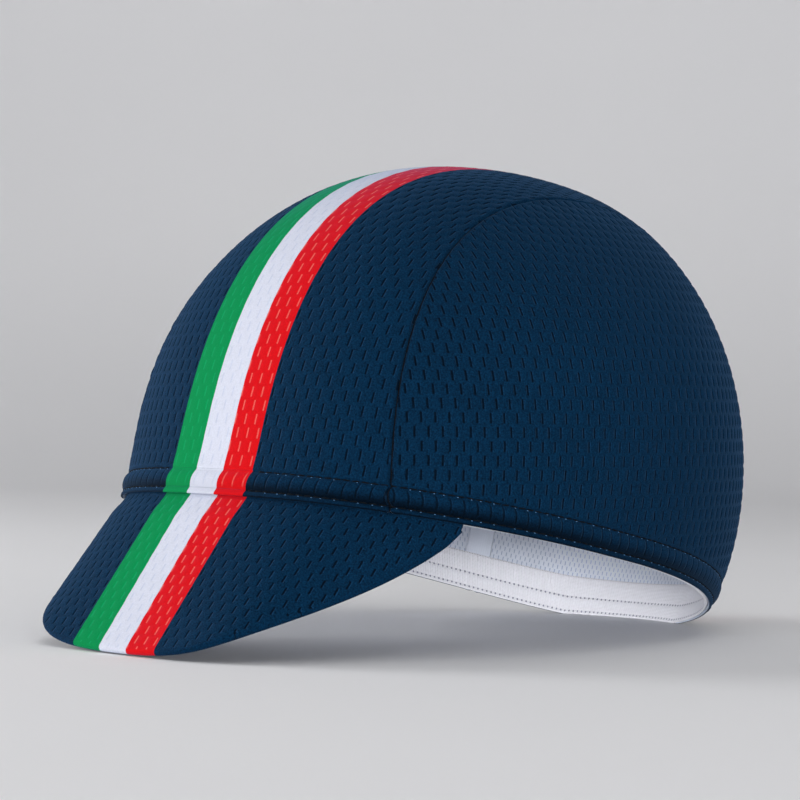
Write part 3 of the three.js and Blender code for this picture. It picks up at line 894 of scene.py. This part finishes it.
class Finish:
    """A material and short ways to add nodes to it."""

    def __init__(self, name, roughness, sheen=0.0, specular=0.1, tint=(1, 1, 1, 1)):
        self.material = bpy.data.materials.new(name)
        self.material.use_nodes = True
        self.tree = self.material.node_tree
        self.shader = self.tree.nodes["Principled BSDF"]
        self.shader.inputs["Roughness"].default_value = roughness
        self.shader.inputs["Specular IOR Level"].default_value = specular
        self.shader.inputs["Sheen Weight"].default_value = sheen
        self.shader.inputs["Sheen Roughness"].default_value = 0.45
        self.shader.inputs["Sheen Tint"].default_value = tint

    def put(self, socket, value):
        """Links a socket, or sets its value."""
        if isinstance(value, bpy.types.NodeSocket):
            self.tree.links.new(value, socket)
        else:
            socket.default_value = value

    def math(self, operation, *values):
        """Result of one operation on values or sockets."""
        node = self.tree.nodes.new("ShaderNodeMath")
        node.operation = operation
        for socket, value in zip(node.inputs, values):
            self.put(socket, value)
        return node.outputs[0]

    def total(self, first, *others):
        """Sum of the values."""
        for value in others:
            first = self.math("ADD", first, value)
        return first

    def product(self, first, *others):
        """Product of the values."""
        for value in others:
            first = self.math("MULTIPLY", first, value)
        return first

    def less(self, value, taken):
        """A value less another."""
        return self.math("SUBTRACT", value, taken)

    def away(self, value, middle):
        """How far a value is from a middle one."""
        return self.math("ABSOLUTE", self.less(value, middle))

    def wave(self, value, pitch):
        """Sine of a value that repeats at a pitch."""
        return self.math("SINE", self.product(value, 2 * math.pi / pitch))

    def ramp(self, value, low, high):
        """Smooth step of a value from 0 at low to 1 at high."""
        node = self.tree.nodes.new("ShaderNodeMapRange")
        node.interpolation_type = "SMOOTHSTEP"
        for socket, given in zip(node.inputs, (value, low, high, 0.0, 1.0)):
            self.put(socket, given)
        return node.outputs[0]

    def fall(self, value, low, high):
        """Smooth step of a value from 1 at low to 0 at high."""
        return self.less(1.0, self.ramp(value, low, high))

    def mix(self, factor, first, second):
        """Colour from first at factor 0 to second at 1."""
        node = self.tree.nodes.new("ShaderNodeMix")
        node.data_type = "RGBA"
        self.put(node.inputs[0], factor)
        self.put(node.inputs[6], first)
        self.put(node.inputs[7], second)
        return node.outputs[2]

    def weave(self):
        """The cloth's own coordinates u and w in millimetres."""
        node = self.tree.nodes.new("ShaderNodeUVMap")
        node.uv_map = "weave"
        split = self.tree.nodes.new("ShaderNodeSeparateXYZ")
        self.tree.links.new(node.outputs[0], split.inputs[0])
        return split.outputs[0], split.outputs[1]

    def noise(self, scale, detail=2.0):
        """Noise on the object's own coordinates, features per metre."""
        where = self.tree.nodes.new("ShaderNodeTexCoord")
        node = self.tree.nodes.new("ShaderNodeTexNoise")
        self.tree.links.new(where.outputs["Object"], node.inputs["Vector"])
        node.inputs["Scale"].default_value = scale
        node.inputs["Detail"].default_value = detail
        return node.outputs[0]

    def colour(self, value):
        """Sets the shader's base colour."""
        self.put(self.shader.inputs["Base Color"], value)

    def bump(self, height, distance):
        """Bump of a height, times a distance in metres."""
        node = self.tree.nodes.new("ShaderNodeBump")
        node.inputs["Strength"].default_value = 1.0
        node.inputs["Distance"].default_value = distance
        self.put(node.inputs["Height"], height)
        self.tree.links.new(node.outputs[0], self.shader.inputs["Normal"])


def rgb(red, green, blue):
    """Linear colour of a display colour given from 0 to 255."""
    parts = [c / 255 for c in (red, green, blue)]
    return [c / 12.92 if c <= 0.04045 else ((c + 0.055) / 1.055) ** 2.4 for c in parts] + [1]


# Navy, the painted shade in its slits, and the painted highlight along one side of each
NAVY, NAVY_SLIT_PAINTED_SHADE, NAVY_PAINTED_HIGHLIGHT = rgb(3, 33, 57), rgb(0, 4, 10), rgb(17, 52, 84)
NAVY_SHEEN = rgb(110, 170, 235)
GREEN, GREEN_SLIT = rgb(0, 122, 63), rgb(8, 136, 78)
RED, RED_SLIT = rgb(190, 6, 9), rgb(208, 88, 80)
WHITE, WHITE_SLIT = rgb(188, 191, 204), rgb(174, 180, 199)
INNER_FACE, INNER_SLIT = rgb(236, 242, 255), rgb(160, 178, 212)
BAND_WHITE, BAND_DOT = rgb(248, 248, 255), rgb(110, 112, 142)
# Dark thread, and the pale blue of painted glints off it
THREAD_DARK, PAINTED_GLINT_BLUE = rgb(3, 8, 16), rgb(95, 138, 182)
FLOOR = rgb(240, 240, 242)

# Noise features per metre: fibres, specks of the knit, the band's pile and mottling
FIBRE_NOISE, FIBRE_BUMP_NOISE, SPECK_NOISE, PILE_NOISE = 3000.0, 4000.0, 2200.0, 900.0
INNER_MOTTLE, CLOTH_MOTTLE, FLOOR_MOTTLE = 60.0, 45.0, 3.0

# Brightness of the print: its base, and the shares of its specks, its mottling and its knit
PRINT_BASE, SPECK_SHARE, MOTTLE_SHARE, KNIT_SHARE = -0.2, 2.2, 0.2, 0.12

# Painted shade on the hem: the least brightness, that of the strip under the lower stitches, and
# the heights over which the upper part and the lip grow bright and the strip dim
HEM_DIMMEST, STRIP_LIGHT = 0.2, 0.7
UPPER_SPAN, STRIP_SPAN, LIP_SPAN = (LOWER_ROW + 0.3, LOWER_ROW + 3.8), (1.2, LOWER_ROW), (0.1, 0.7)
UNPRINTED_SPAN = (-0.2, -0.02)

# Depths of the bumps in metres
CLOTH_BUMP, INNER_BUMP, BAND_BUMP, FIBRE_BUMP = 0.00014, 0.0002, 0.00013, 0.00008

# Slits in the print: the middle of the core, dark painted shade on the navy, and of the edge, a
# light painted highlight on the navy, from the slit's line, how the edge fades, how strongly each
# shows, and how the core fades on the crown and on the sides
CORE_MIDDLE, EDGE_MIDDLE, EDGE_FADE, CORE_SHARE, EDGE_SHARE = -0.04, 0.36, (0.05, 0.22), 0.8, 0.55
STRIPED_CORE, NAVY_CORE = (0.14, 0.38), (0.18, 0.48)
SLIT_END_FADE, HEM_SLIT_FADE, HEM_SLIT_SHARE = (-0.3, 0.05), (1.2, 2.5), 0.8
HEM_SLIT_MIDDLE = (LOWER_ROW + UPPER_ROW) / 2 + 0.2

# The stripe's edges fade over this much to either side, and calm the mottling and the painted hem
# shade by a share
STRIPE_FADE, MIDDLE_FADE, STRIPE_CALM = 0.12, 0.1, 0.88


def slit_offset(finish, u, w):
    """Signed distance across from the nearest slit's line, and how far a spot lies between the
    slit's ends, from 1 between them to 0 past them. The hem has one long row of its own."""
    hem = finish.math("LESS_THAN", w, HEM_MARK / 2)
    cloth = finish.less(1.0, hem)
    rows = finish.math("DIVIDE", w, ROW_PITCH)
    odd = finish.math("ABSOLUTE", finish.math("MODULO", finish.math("FLOOR", rows), 2.0))
    shift = finish.product(odd, 0.5, cloth)
    across = finish.total(finish.math("DIVIDE", u, SLIT_PITCH), shift, 0.5)
    off = finish.product(finish.less(finish.math("FRACT", across), 0.5), SLIT_PITCH)
    along = finish.product(finish.away(finish.math("FRACT", rows), 0.5), ROW_PITCH)
    within = finish.fall(along, *(SLIT_HALF_LENGTH + fade for fade in SLIT_END_FADE))
    on_hem = finish.fall(finish.away(w, HEM_MARK + HEM_SLIT_MIDDLE), *HEM_SLIT_FADE)
    on_hem = finish.product(on_hem, hem, HEM_SLIT_SHARE)
    return off, finish.total(finish.product(within, cloth), on_hem)


def knit_height(finish, u, w, wale=0.52, course=0.44):
    """Fine knit: columns of small loops, each half a course on from the next."""
    columns, loops = finish.wave(u, wale), finish.wave(w, course)
    return finish.total(finish.product(columns, loops, 0.3), finish.product(columns, 0.2))


def hem_span(heights):
    """Two heights on the hem, as they are marked in w."""
    return [HEM_MARK + height for height in heights]


def painted_hem_shade(finish, w):
    """Painted shade: brightness 1 on the cloth. On the hem a painted shade darkens it towards the
    lower stitch row, the strip under that row is brighter, and a painted shadow darkens it again at
    the lip."""
    upper = finish.ramp(w, *hem_span(UPPER_SPAN))
    strip = finish.product(finish.fall(w, *hem_span(STRIP_SPAN)), STRIP_LIGHT)
    above_lip = finish.ramp(w, *hem_span(LIP_SPAN))
    lit = finish.product(finish.math("MAXIMUM", upper, strip), above_lip)
    return finish.total(HEM_DIMMEST, finish.product(lit, 1 - HEM_DIMMEST))


def print_colours(finish, u):
    """The print's own colour, that of its slits, dark painted shade on the navy, and that of their
    edges, a painted highlight on the navy, and how strong its mottling and the painted hem shade
    are:
    the navy ground, and on it green and red strips either side of white."""
    wide = finish.math("ABSOLUTE", u)
    on_stripe, on_white = (
        finish.fall(wide, edge - STRIPE_FADE, edge + STRIPE_FADE)
        for edge in (STRIPE_OUTER, STRIPE_INNER)
    )
    left = finish.ramp(u, -MIDDLE_FADE, MIDDLE_FADE)
    side, side_slit = finish.mix(left, GREEN, RED), finish.mix(left, GREEN_SLIT, RED_SLIT)
    layers = (NAVY, side, WHITE), (NAVY_SLIT_PAINTED_SHADE, side_slit, WHITE_SLIT), (NAVY_PAINTED_HIGHLIGHT, side, WHITE)
    body, dark, light = (
        finish.mix(on_white, finish.mix(on_stripe, ground, strip), white)
        for ground, strip, white in layers
    )
    return body, dark, light, finish.less(1.0, finish.product(on_stripe, STRIPE_CALM))


def mesh_cloth(name, striped, core_fade):
    """Printed mesh cloth, navy or striped. On the navy a slit's middle is painted dark as shade,
    with a painted highlight along one side; on the stripe it takes the stripe's slit colour. The
    knit and the print are slightly mottled, and a painted shade darkens the hem towards its lower
    stitch row and at its lip. The hem's inner side isn't printed."""
    finish = Finish(name, 0.8, sheen=0.11, specular=0.03, tint=NAVY_SHEEN)
    u, w = finish.weave()
    off, within = slit_offset(finish, u, w)
    knit = knit_height(finish, u, w)
    core = finish.product(finish.fall(finish.away(off, CORE_MIDDLE), *core_fade), within)
    edge = finish.product(finish.fall(finish.away(off, EDGE_MIDDLE), *EDGE_FADE), within)
    body, dark, light, contrast = NAVY, NAVY_SLIT_PAINTED_SHADE, NAVY_PAINTED_HIGHLIGHT, 1.0
    if striped:
        body, dark, light, contrast = print_colours(finish, u)
    base = finish.mix(finish.product(edge, EDGE_SHARE), body, light)
    base = finish.mix(finish.product(core, CORE_SHARE), base, dark)
    speck = finish.product(finish.noise(SPECK_NOISE, 1.0), SPECK_SHARE)
    shade = finish.product(finish.noise(CLOTH_MOTTLE, 3.0), MOTTLE_SHARE)
    bright = finish.total(speck, shade, finish.product(knit, KNIT_SHARE), PRINT_BASE)
    # Mottling of the print, times the painted shade on the hem
    mottle_and_painted_shade = finish.less(finish.product(bright, painted_hem_shade(finish, w)), 1.0)
    printed = scaled(finish, base, finish.total(finish.product(mottle_and_painted_shade, contrast), 1.0))
    inner_side = finish.fall(w, *hem_span(UNPRINTED_SPAN))
    finish.colour(finish.mix(inner_side, printed, INNER_FACE))
    height = finish.less(finish.product(knit, 0.35), core)
    finish.bump(finish.product(height, contrast), CLOTH_BUMP)
    return finish.material


def scaled(finish, colour, factor):
    """Colour times a number."""
    node = finish.tree.nodes.new("ShaderNodeVectorMath")
    node.operation = "SCALE"
    finish.put(node.inputs[0], colour[:3] if isinstance(colour, list) else colour)
    finish.put(node.inputs[3], factor)
    return node.outputs[0]


def inside_cloth(name):
    """Unprinted inner face: pale, with blue-grey slits where the print shows through."""
    finish = Finish(name, 0.75, sheen=0.1, specular=0.15)
    u, w = finish.weave()
    off, within = slit_offset(finish, u, w)
    slit = finish.product(finish.fall(finish.math("ABSOLUTE", off), 0.15, 0.4), within)
    base = finish.mix(finish.product(slit, 0.75), INNER_FACE, INNER_SLIT)
    bright = finish.total(finish.product(finish.noise(INNER_MOTTLE, 3.0), 0.28), 0.86)
    finish.colour(scaled(finish, base, bright))
    knit = finish.product(knit_height(finish, u, w), 0.3)
    finish.bump(finish.less(knit, slit), INNER_BUMP)
    return finish.material


def band_cloth(name):
    """White elastic band: fine ribs across, and two rows of stitches: a dark dot where the thread
    goes in, and a low hump of thread between two dots."""
    finish = Finish(name, 0.8, sheen=0.1, specular=0.15)
    u, w = finish.weave()
    pile = finish.total(
        finish.product(finish.wave(u, 0.85), 0.35), finish.product(finish.wave(w, 0.42), 0.2),
    )
    beat = finish.math("FRACT", finish.math("DIVIDE", u, BAND_STITCH_PITCH))
    beside = finish.product(finish.away(beat, 0.5), BAND_STITCH_PITCH)
    dots, threads = 0.0, 0.0
    for row in BAND_STITCHES:
        level = finish.away(w, row)
        squares = finish.total(finish.product(level, level), finish.product(beside, beside))
        dots = finish.total(dots, finish.fall(finish.math("SQRT", squares), 0.16, 0.36))
        hump = finish.product(finish.fall(level, 0.05, 0.2), finish.ramp(beside, 0.25, 0.4))
        threads = finish.total(threads, hump)
    fuzz = finish.product(finish.noise(PILE_NOISE, 1.0), 0.08)
    base = finish.mix(finish.product(dots, 0.8), BAND_WHITE, BAND_DOT)
    finish.colour(scaled(finish, base, finish.total(finish.product(pile, 0.05), fuzz, 0.93)))
    height = finish.less(finish.total(pile, threads), finish.product(dots, 1.5))
    finish.bump(height, BAND_BUMP)
    return finish.material


def thread(name, colour, roughness):
    """Thread: fine specks of lighter and darker fibre."""
    finish = Finish(name, roughness, specular=0.12)
    bright = finish.total(finish.noise(FIBRE_NOISE, 1.0), 0.5)
    finish.colour(scaled(finish, colour, bright))
    finish.bump(finish.noise(FIBRE_BUMP_NOISE, 0.0), FIBRE_BUMP)
    return finish.material


def pale_floor():
    """Plain pale floor, with a trace of mottling."""
    finish = Finish("floor", 0.9, specular=0.1)
    bright = finish.total(finish.product(finish.noise(FLOOR_MOTTLE, 2.0), 0.04), 0.98)
    finish.colour(scaled(finish, FLOOR, bright))
    return finish.material


# Cap, stage, light and camera

# Floor's section from its middle to the top of the wall: distance and height
FLOOR_SECTION = np.array([
    (0, 0), (400, 0), (800, 0), (1200, 0), (1400, 25), (1580, 95), (1730, 210), (1840, 370),
    (1890, 560), (1900, 900), (1900, 1500),
])

# Strength of the white light from all round
SURROUND = 0.16

# Camera: bearing and roll in degrees, place in metres, lens and sensor in millimetres
CAMERA_BEARING, CAMERA_ROLL, CAMERA_PLACE = 44.37, 0.965, (0.5614, -0.5776, 0.0691)
CAMERA_LENS, SENSOR_WIDTH = 122.5, 36


def dressed(piece, node):
    """Hides the solid that a piece stands for. The piece itself is not used."""
    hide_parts(node)


def build_cap():
    """All pieces of the cap, each with its finish."""
    striped = mesh_cloth("striped_mesh", True, STRIPED_CORE)
    navy = mesh_cloth("navy_mesh", False, NAVY_CORE)
    inside, band = inside_cloth("inner_face"), band_cloth("band")
    dark = thread("dark_thread", THREAD_DARK, 0.8)
    painted_glint = thread("painted_thread_glint", PAINTED_GLINT_BLUE, 0.6)
    dressed(centre_panel("centre_panel_cloth", [striped]), "centre_panel")
    for side, hand in (("left", 1), ("right", -1)):
        dressed(side_panel(f"{side}_panel_cloth", hand, [navy]), f"{side}_panel")
        inner_side(f"{side}_panel_inside", hand, [inside])
        seam_thread(f"{side}_seam_thread", hand, [dark])
        seam_tape(f"{side}_seam_tape", hand, [inside])
    inner_centre("centre_panel_inside", [inside])
    dressed(sweatband("sweatband_cloth", [band]), "sweatband")
    dressed(peak_cover("peak_cover", [striped, navy]), "peak")
    for label, z in (("lower", LOWER_ROW), ("upper", UPPER_ROW)):
        line, normal = hem_line(z, STITCH_INSET)
        stitches(f"hem_stitches_{label}", line, normal, *STITCH_SIZES, [dark], 0.5)
        # Pale flecks under each row, painted glints off the thread
        line, normal = hem_line(z - FLECK_DROP, FLECK_INSET)
        stitches(f"hem_painted_glints_{label}", line, normal, *FLECK_SIZES, [painted_glint], 0.0, FLECK_LEAST)


def build_stage():
    """Round floor that curves up to a wall far behind the cap, seen from any side."""
    radius, height = FLOOR_SECTION.T
    turn = np.linspace(0, 2 * math.pi, 97)
    spots = np.stack([
        radius[:, None] * np.cos(turn), radius[:, None] * np.sin(turn),
        np.broadcast_to(height[:, None], (radius.size, turn.size)),
    ], -1)
    mesh = bpy.data.meshes.new("floor")
    corners = corners_of(radius.size, turn.size)
    mesh.from_pydata((spots.reshape(-1, 3) * 0.001).tolist(), [], corners.tolist())
    mesh.materials.append(pale_floor())
    mesh.shade_smooth()
    floor = bpy.data.objects.new("floor", mesh)
    bpy.context.scene.collection.objects.link(floor)


def soft_light(name, place, size, power, target=(0, 0, 0.06), spread=180):
    """Area light of a width and height, at a place, looking at a target, not itself seen. It
    shines into a cone of the given spread in degrees."""
    light = bpy.data.lights.new(name, "AREA")
    light.shape = "RECTANGLE"
    light.size, light.size_y = size
    light.energy, light.spread = power, math.radians(spread)
    lamp = bpy.data.objects.new(name, light)
    bpy.context.scene.collection.objects.link(lamp)
    lamp.visible_camera = False
    lamp.location = place
    lamp.rotation_mode = "QUATERNION"
    toward = Vector(target) - Vector(place)
    lamp.rotation_quaternion = toward.to_track_quat("-Z", "Y")


def build_lights():
    """Soft light from the photograph's left, a low one from the camera's side that reaches into
    the crown, and two from above, in a dim white surround."""
    soft_light("left", (-1.15, -0.7, 0.3), (0.6, 0.5), 15)
    soft_light("low", (1.08, -1.04, 0.1), (1.2, 0.12), 3.8, (0, 0, 0.03), 60)
    soft_light("high", (0.6, -0.55, 0.95), (0.8, 0.8), 2)
    soft_light("top", (0.1, 0.3, 1.25), (0.9, 0.9), 3)
    world = bpy.data.worlds.new("studio")
    world.use_nodes = True
    world.node_tree.nodes["Background"].inputs[0].default_value = (1, 1, 1, 1)
    world.node_tree.nodes["Background"].inputs[1].default_value = SURROUND
    bpy.context.scene.world = world
    bpy.context.scene.view_settings.view_transform = "Standard"


def build_camera():
    """Camera where the photograph was taken from: level, low, and slightly rolled."""
    bearing, roll = math.radians(CAMERA_BEARING), math.radians(CAMERA_ROLL)
    back = np.array([math.sin(bearing), -math.cos(bearing), 0])
    right = np.array([math.cos(bearing), math.sin(bearing), 0])
    up = np.array([0.0, 0.0, 1.0])
    turned_right = right * math.cos(roll) + up * math.sin(roll)
    turned_up = up * math.cos(roll) - right * math.sin(roll)
    data = bpy.data.cameras.new("camera")
    data.sensor_width, data.lens = SENSOR_WIDTH, CAMERA_LENS
    data.clip_start, data.clip_end = 0.01, 20
    camera = bpy.data.objects.new("camera", data)
    bpy.context.scene.collection.objects.link(camera)
    place = np.eye(4)
    place[:3] = np.stack([turned_right, turned_up, back, CAMERA_PLACE], 1)
    camera.matrix_world = Matrix(place.tolist())
    bpy.context.scene.camera = camera


build_cap()
build_stage()
build_lights()
build_camera()
